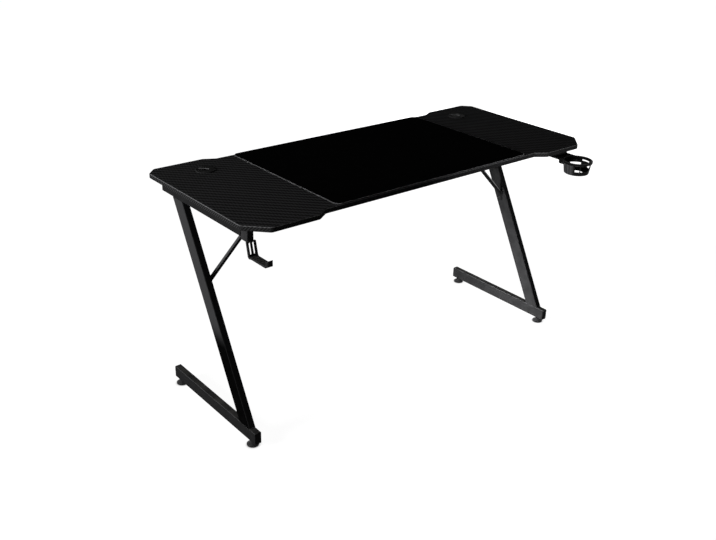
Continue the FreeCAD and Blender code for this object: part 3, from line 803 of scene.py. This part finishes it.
# %% [markdown]
# ### Making the hard finishes
#
# Each row of the table becomes one material. The posts take the paint of the legs, with painted light and
# shade on their outer faces.

# %% hard finishes
CHANGES = {
    "cap_plastic": walls_with_painted_reflection(CAP_WALL_REFLECTION),
    "liner_plastic": walls_with_painted_reflection(LINER_WALL_REFLECTION),
    "gloss_plastic": painted_reflection_panel,
}
MATERIALS = {name: hard_finish(name, look, CHANGES.get(name)) for name, look in LOOKS.items()}
MATERIALS["post_paint_painted_light_and_shade"] = hard_finish("post_paint_painted_light_and_shade", LOOKS["leg_paint"], painted_post_light_and_shade)
add_gloss_line(MATERIALS["brace_paint"])
print("hard finishes:", ", ".join(MATERIALS))

# %% [markdown]
# ## The board's carbon-look wrap
#
# The wrap is a printed and embossed film: broad tows in a twill, of which those across the desk look lighter
# under a lamp at the side than those along it. The two tones are partly the print and partly this side light,
# painted in. The relief is far finer than a pixel, so it needs no geometry: the weave group gives the two
# tones and a bump of a quarter of a millimetre.

# %% board finish
TOW_WIDTH = 0.0071
TOW_RELIEF = 0.00025
TOW_LIGHT = grey(0.053)
TOW_DARK = grey(0.017)
BAND_LIGHT = grey(0.055)
BAND_DARK = grey(0.016)
ARRIS_HIGHLIGHT_LIGHT = grey(0.25)
ARRIS_HIGHLIGHT_DARK = grey(0.15)
FIBRE_LIGHT = grey(0.09)
FIBRE_SHARE = 0.25
FIBRE_RANGE = (0.5, 0.8)
ROUGH_RANGE = (0.2, 0.8)
BOARD_ROUGH = (0.5, 0.65)
BOARD_SPECULAR = 0.0003
BOARD_EDGE = 0.003
BOARD_WEAR_AND_HIGHLIGHT = 0.3
BOARD_DUST_AND_TOP_LIGHT = 0.02


def board_finish():
    material, tree, shader = new_material("board_finish")
    weave = grouped(tree, "twill", Tow=TOW_WIDTH)
    edge = grouped(tree, "edge_wear", Radius=BOARD_EDGE, Amount=BOARD_WEAR_AND_HIGHLIGHT)
    dust_and_top_light = grouped(tree, "dust_and_top_light", Amount=BOARD_DUST_AND_TOP_LIGHT)
    # the two tones of the tows: the print, and painted light from the lamp at the side
    band = mixed(tree, weave["Warp"], BAND_DARK, BAND_LIGHT)
    colour = mixed(tree, weave["Level"], band, mixed(tree, weave["Warp"], TOW_DARK, TOW_LIGHT))
    streak = maths(tree, "MULTIPLY", ranged(tree, weave["Fibre"], *FIBRE_RANGE), FIBRE_SHARE)
    colour = mixed(tree, streak, colour, FIBRE_LIGHT)
    # rubbed edges in the light fibre tone: partly wear, partly a painted highlight along the board's edges
    colour = mixed(tree, edge["Wear"], colour, FIBRE_LIGHT)
    # dust, which also paints the upward faces lighter as painted top light
    colour = mixed(tree, dust_and_top_light["Dust and top light"], colour, DUST_AND_TOP_LIGHT_COLOUR)
    # a painted highlight on the arris, dotted by the weave
    arris_highlight = grouped(tree, "arris_highlight")["Mask"]
    colour = mixed(tree, arris_highlight, colour, mixed(tree, weave["Warp"], ARRIS_HIGHLIGHT_DARK, ARRIS_HIGHLIGHT_LIGHT))
    feed(tree, shader.inputs["Base Color"], colour)
    feed(tree, shader.inputs["Roughness"], ranged(tree, weave["Fibre"], *ROUGH_RANGE, *BOARD_ROUGH))
    feed(tree, shader.inputs["Normal"], bumped(tree, weave["Height"], TOW_RELIEF, edge["Normal"]))
    shader.inputs["Specular IOR Level"].default_value = BOARD_SPECULAR
    return material


MATERIALS["board_finish"] = board_finish()
print("board finish with tows of", TOW_WIDTH, "m")

# %% [markdown]
# ## The mouse pad's cloth
#
# The pad is a deep black cloth that swallows the light, so its colour is close to zero, with a fuzz of sheen
# at grazing angles. Its yarn is too fine for geometry of its own, so the weave group draws it at a small
# size.

# %% cloth
CLOTH_YARN = 0.0011
CLOTH_RELIEF = 0.00012
CLOTH_DARK = grey(0.0004)
CLOTH_LIGHT = grey(0.0014)
CLOTH_ROUGH = (0.85, 1.0)
CLOTH_SHEEN = 0.004


def pad_cloth():
    material, tree, shader = new_material("pad_cloth")
    weave = grouped(tree, "twill", Tow=CLOTH_YARN)
    cloud = grouped(tree, "fine_grain", Size=CLOTH_YARN)["Cloud"]
    tone = maths(tree, "MULTIPLY", weave["Height"], cloud)
    feed(tree, shader.inputs["Base Color"], mixed(tree, tone, CLOTH_DARK, CLOTH_LIGHT))
    feed(tree, shader.inputs["Roughness"], ranged(tree, weave["Fibre"], *ROUGH_RANGE, *CLOTH_ROUGH))
    feed(tree, shader.inputs["Normal"], bumped(tree, weave["Height"], CLOTH_RELIEF, normal_of(tree)))
    shader.inputs["Specular IOR Level"].default_value = 0.0
    shader.inputs["Sheen Weight"].default_value = CLOTH_SHEEN
    return material


MATERIALS["pad_cloth"] = pad_cloth()
print("cloth with yarn of", CLOTH_YARN, "m")

# %% [markdown]
# ### The thread
#
# The edge of the pad is sewn over with a grey thread, and its plies show as slanted stripes along each
# stitch. The stitches are geometry, but the plies are too fine for that, so a run of stripes in the object's
# coordinates draws them, with the grain group as fuzz.

# %% thread
PLY_WIDTH = 0.0006
PLY_RELIEF = 0.0001
THREAD_DARK = grey(0.23)
THREAD_LIGHT = grey(0.56)
FUZZ_RANGE = (0.3, 0.7)
LEAST_FUZZ = 0.5
THREAD_ROUGH = (0.7, 0.95)
THREAD_SPECULAR = 0.02


def pad_thread():
    material, tree, shader = new_material("pad_thread")
    axes = split(tree, object_place(tree))
    slant = maths(tree, "ADD", maths(tree, "ADD", axes["X"], axes["Y"]), axes["Z"])
    ply = arch(tree, maths(tree, "FRACT", maths(tree, "DIVIDE", slant, PLY_WIDTH)))
    fuzz = grouped(tree, "fine_grain", Size=PLY_WIDTH)["Height"]
    tone = maths(tree, "MULTIPLY", ply, ranged(tree, fuzz, *FUZZ_RANGE, LEAST_FUZZ, 1.0))
    feed(tree, shader.inputs["Base Color"], mixed(tree, tone, THREAD_DARK, THREAD_LIGHT))
    feed(tree, shader.inputs["Roughness"], ranged(tree, fuzz, *ROUGH_RANGE, *THREAD_ROUGH))
    feed(tree, shader.inputs["Normal"], bumped(tree, ply, PLY_RELIEF, normal_of(tree)))
    shader.inputs["Specular IOR Level"].default_value = THREAD_SPECULAR
    return material


MATERIALS["pad_thread"] = pad_thread()
print("thread with plies of", PLY_WIDTH, "m")

# %% [markdown]
# ## Painting the CAD pieces
#
# The record says which finish each CAD piece has. The material goes on the slot of the object, so the CAD
# mesh keeps its own. Pieces with painted light and shade, a tone of their own or a painted reflection on
# their walls are picked by the start of their names.

# %% paint the CAD pieces
SLOT_OF = {row["node"]: row["material_slot"] for row in frame["record"]["subparts"]}
OWN_FINISH = {
    "post_": "post_paint_painted_light_and_shade",
    "brace_left": "brace_paint",
    "brace_right": "brace_paint",
    "grommet_cap_": "cap_plastic",
    "grommet_liner_": "liner_plastic",
    "headphone_": "hook_plastic",
    "levelling_": "foot_plastic",
}


def finish_of(node_name):
    for start, finish in OWN_FINISH.items():
        if node_name.startswith(start):
            return finish
    return SLOT_OF[node_name]


def paint(piece, material):
    if not piece.material_slots:
        piece.data.materials.append(None)
    for holder in piece.material_slots:
        holder.link = "OBJECT"
        holder.material = material


for node_name, piece in frame["nodes"].items():
    paint(piece, MATERIALS[finish_of(node_name)])
print(len(frame["nodes"]), "CAD pieces painted")

# %% [markdown]
# ## Adding a mesh piece
#
# The pieces below are built vertex by vertex with bmesh. One helper turns the finished form into an object
# that rides on the desk, and another sweeps a round section along a path: it makes the stitches and the weld
# beads. A curve with a bevel could do that too, but here many tubes become one mesh with few faces.

# %% mesh helpers
DESK = "desk"


def add_piece(name, form, material):
    mesh = bpy.data.meshes.new(name)
    bmesh.ops.recalc_face_normals(form, faces=form.faces)
    form.to_mesh(mesh)
    form.free()
    for face in mesh.polygons:
        face.use_smooth = True
    mesh.materials.append(material)
    piece = bpy.data.objects.new(name, mesh)
    bpy.context.scene.collection.objects.link(piece)
    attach(piece, DESK)
    return piece


def sweep(form, path, radii, side, sides):
    """A closed tube along path. side is a direction that the path never takes."""
    rings = []
    last = len(path) - 1
    for index, (point, radius) in enumerate(zip(path, radii)):
        ahead = (path[min(index + 1, last)] - path[max(index - 1, 0)]).normalized()
        first = ahead.cross(side).normalized()
        second = ahead.cross(first)
        ring = []
        for corner in range(sides):
            turn = 2.0 * math.pi * corner / sides
            ring.append(form.verts.new(point + radius * (math.cos(turn) * first + math.sin(turn) * second)))
        rings.append(ring)
    for ring, following in zip(rings, rings[1:]):
        for corner in range(sides):
            beside = (corner + 1) % sides
            form.faces.new((ring[corner], ring[beside], following[beside], following[corner]))
    form.faces.new(rings[0])
    form.faces.new(list(reversed(rings[-1])))


print("mesh helpers ready")

# %% [markdown]
# ## The mouse pad
#
# A desk pad is a sheet of cloth on foam rubber that lies flat under its own weight, so it needs no cloth
# simulation. A grid of quads follows its rounded outline. In the corners the square grid is bent to a quarter
# disc, which keeps every face of the top a quad.

# %% pad outline
PAD_LOW, PAD_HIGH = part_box("mouse_pad")
PAD_MIDDLE = (PAD_LOW + PAD_HIGH) / 2.0
PAD_ROUND = 0.020
HEM_ROOM = 0.0006
PAD_HALF = Vector((PAD_HIGH.x - PAD_MIDDLE.x - HEM_ROOM, PAD_HIGH.y - PAD_MIDDLE.y - HEM_ROOM))
PAD_RIM = 0.0016
RIM_SHARES = (0.0, 0.1, 0.35, 1.0)
CORNER_SHARES = (0.3, 0.5, 0.75, 1.0)
PAD_STEP = 0.012


def grid_lines(half):
    """The places of the grid lines along one axis, close together at the rim."""
    near = [half - PAD_RIM * share for share in RIM_SHARES]
    near += [half - PAD_ROUND * share for share in CORNER_SHARES]
    inner = half - PAD_ROUND
    count = round(2.0 * inner / PAD_STEP)
    middle = [-inner + 2.0 * inner * index / count for index in range(1, count)]
    return [-value for value in near] + middle + list(reversed(near))


def bend_corner(x, y):
    """Bends the square corner of the grid to a quarter disc. Also gives the distance from the rim."""
    across = max(abs(x) - (PAD_HALF.x - PAD_ROUND), 0.0) / PAD_ROUND
    along = max(abs(y) - (PAD_HALF.y - PAD_ROUND), 0.0) / PAD_ROUND
    if across == 0.0 or along == 0.0:
        return x, y, min(PAD_HALF.x - abs(x), PAD_HALF.y - abs(y))
    out_x = PAD_ROUND * across * math.sqrt(1.0 - along * along / 2.0)
    out_y = PAD_ROUND * along * math.sqrt(1.0 - across * across / 2.0)
    inside = PAD_ROUND - math.hypot(out_x, out_y)
    bent_x = math.copysign(PAD_HALF.x - PAD_ROUND + out_x, x)
    return bent_x, math.copysign(PAD_HALF.y - PAD_ROUND + out_y, y), inside


print("pad", [round(2.0 * value, 4) for value in PAD_HALF], "m inside its hem")

# %% [markdown]
# ### The pad's sheet
#
# The rim falls away in a quarter round, and a slow, very low wave keeps the top from looking like glass. A
# bevel and a displacement could do this as modifiers, but the height of each point is one short formula.

# %% pad sheet
PAD_WAVE = 0.00025
PAD_WAVE_SIZE = 0.16


def pad_top(x, y, inside):
    """The height of the pad's top: a quarter round at the rim and a slow wave further in."""
    fall = max(PAD_RIM - inside, 0.0)
    rim = math.sqrt(max(PAD_RIM * PAD_RIM - fall * fall, 0.0))
    share = min(inside / PAD_ROUND, 1.0)
    wave = noise.noise(Vector((x, y, 0.0)) / PAD_WAVE_SIZE) * share
    return PAD_HIGH.z - PAD_RIM + rim + PAD_WAVE * (wave - 1.0) * share


def make_pad():
    form = bmesh.new()
    rows = []
    for y in grid_lines(PAD_HALF.y):
        row = []
        for x in grid_lines(PAD_HALF.x):
            bent_x, bent_y, inside = bend_corner(x, y)
            height = pad_top(bent_x, bent_y, max(inside, 0.0))
            row.append(form.verts.new((PAD_MIDDLE.x + bent_x, PAD_MIDDLE.y + bent_y, height)))
        rows.append(row)
    for row, following in zip(rows, rows[1:]):
        for index in range(len(row) - 1):
            form.faces.new((row[index], row[index + 1], following[index + 1], following[index]))
    rim = rows[0][:-1] + [row[-1] for row in rows[:-1]]
    rim += list(reversed(rows[-1][1:])) + [row[0] for row in reversed(rows[1:])]
    foot = [form.verts.new((vert.co.x, vert.co.y, PAD_LOW.z)) for vert in rim]
    for index, vert in enumerate(rim):
        before = index - 1
        form.faces.new((rim[before], vert, foot[index], foot[before]))
    form.faces.new(foot)
    return add_piece("mouse_pad_cloth", form, MATERIALS["pad_cloth"])


pad = make_pad()
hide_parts("mouse_pad")
print("pad with", len(pad.data.polygons), "faces")

# %% [markdown]
# ### A walk round the pad
#
# The stitches of the edge sit evenly on the outline, also round its corners. An array along a curve could set
# them out, but a walk over four straight sides and four quarter rounds also gives the outward direction.

# %% walk along the pad's outline
PAD_SIDES = 4


def pad_walk(step):
    """Points on the pad's outline with their outward directions, about one step apart."""
    inner = (PAD_HALF.x - PAD_ROUND, PAD_HALF.y - PAD_ROUND)
    quarter = QUARTER_TURN * PAD_ROUND
    for side in range(PAD_SIDES):
        out = Vector((math.cos(side * QUARTER_TURN), math.sin(side * QUARTER_TURN), 0.0))
        ahead = Vector((-out.y, out.x, 0.0))
        reach, run = inner if side % 2 == 0 else reversed(inner)
        count = round(2.0 * run / step)
        for index in range(count):
            yield out * (reach + PAD_ROUND) + ahead * run * (2.0 * index / count - 1.0), out
        count = round(quarter / step)
        for index in range(count):
            turn = QUARTER_TURN * index / count
            direction = out * math.cos(turn) + ahead * math.sin(turn)
            yield out * reach + ahead * run + direction * PAD_ROUND, direction


print("outline walk ready")

# %% [markdown]
# ### The sewn edge
#
# An overlock machine wraps the edge in slanted stitches, one beside the other. Each is a short tube that
# starts low on the side, climbs it at a slant, and turns over the rim on to the top. A striped material on a
# plain rim would look flat from close by, so the stitches are real.

# %% sewn edge
STITCH_PITCH = 0.0032
STITCH_SLANT = 0.0016
STITCH_RADII = (0.00035, 0.00055, 0.0006, 0.0005, 0.0003)
STITCH_SIDES = 6
# each stop of a stitch: out from the pad's side, up from its foot, and share of the slant
STITCH_STOPS = (
    (0.0, 0.0005, 0.0),
    (0.00005, 0.0018, 0.3),
    (-0.0001, 0.0030, 0.6),
    (-0.0007, 0.0036, 0.8),
    (-0.0015, 0.0037, 1.0),
)


def make_hem():
    form = bmesh.new()
    middle = Vector((PAD_MIDDLE.x, PAD_MIDDLE.y, PAD_LOW.z))
    for point, out in pad_walk(STITCH_PITCH):
        ahead = Vector((-out.y, out.x, 0.0))
        path = []
        for away, up, share in STITCH_STOPS:
            path.append(middle + point + out * away + ahead * STITCH_SLANT * share + Vector((0.0, 0.0, up)))
        sweep(form, path, STITCH_RADII, ahead, STITCH_SIDES)
    return add_piece("mouse_pad_hem", form, MATERIALS["pad_thread"])


hem = make_hem()

# %% [markdown]
# ## Weld beads
#
# A weld bead is a thin roll with a ripple for every drop of the weld. A bump could draw the ripples, but the
# bead shows in outline, so a sweep with changing radii makes them real.

# %% one weld bead
BEAD_RADIUS = 0.0022
BEAD_RIPPLE = 0.16
BEAD_PITCH = 0.0017
BEAD_STEPS = 4
BEAD_SIDES = 8
# the ends of a bead round off: how late, and how much of the section is left at the very end
BEAD_END_POWER = 8
BEAD_END_LEAST = 0.04
UP = Vector((0.0, 0.0, 1.0))


def bead(form, start, end):
    """One rippled weld bead between two points."""
    drops = round((end - start).length / BEAD_PITCH)
    count = drops * BEAD_STEPS
    path = []
    radii = []
    for index in range(count + 1):
        share = index / count
        rounded = math.sqrt(max(1.0 - abs(2.0 * share - 1.0) ** BEAD_END_POWER, BEAD_END_LEAST))
        ripple = 1.0 - BEAD_RIPPLE * (1.0 - abs(math.sin(math.pi * drops * share)))
        path.append(start.lerp(end, share))
        radii.append(BEAD_RADIUS * rounded * ripple)
    sweep(form, path, radii, UP, BEAD_SIDES)


print("bead of", 2.0 * BEAD_RADIUS, "m across")

# %% [markdown]
# ### The beads of a leg
#
# The posts are welded to their bars across the front and the rear of each joint, and the flush sides are
# ground flat. Where the post meets the bar is read from the CAD mesh, so that the beads follow the joint when
# the desk changes its size.

# %% weld beads
BEAD_INSET = 0.0025
END_SLACK = 0.0005


def make_beads(side):
    form = bmesh.new()
    post = frame["nodes"]["post_" + side].data
    low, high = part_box("post_" + side)
    for level in (low.z, high.z):
        depths = [vert.co.y for vert in post.vertices if abs(vert.co.z - level) < END_SLACK]
        for y in (min(depths), max(depths)):
            bead(form, Vector((low.x + BEAD_INSET, y, level)), Vector((high.x - BEAD_INSET, y, level)))
    return add_piece("weld_beads_" + side, form, MATERIALS["leg_paint"])


for side_name in ("left", "right"):
    beads = make_beads(side_name)
    print(beads.name, "with", len(beads.data.polygons), "faces")
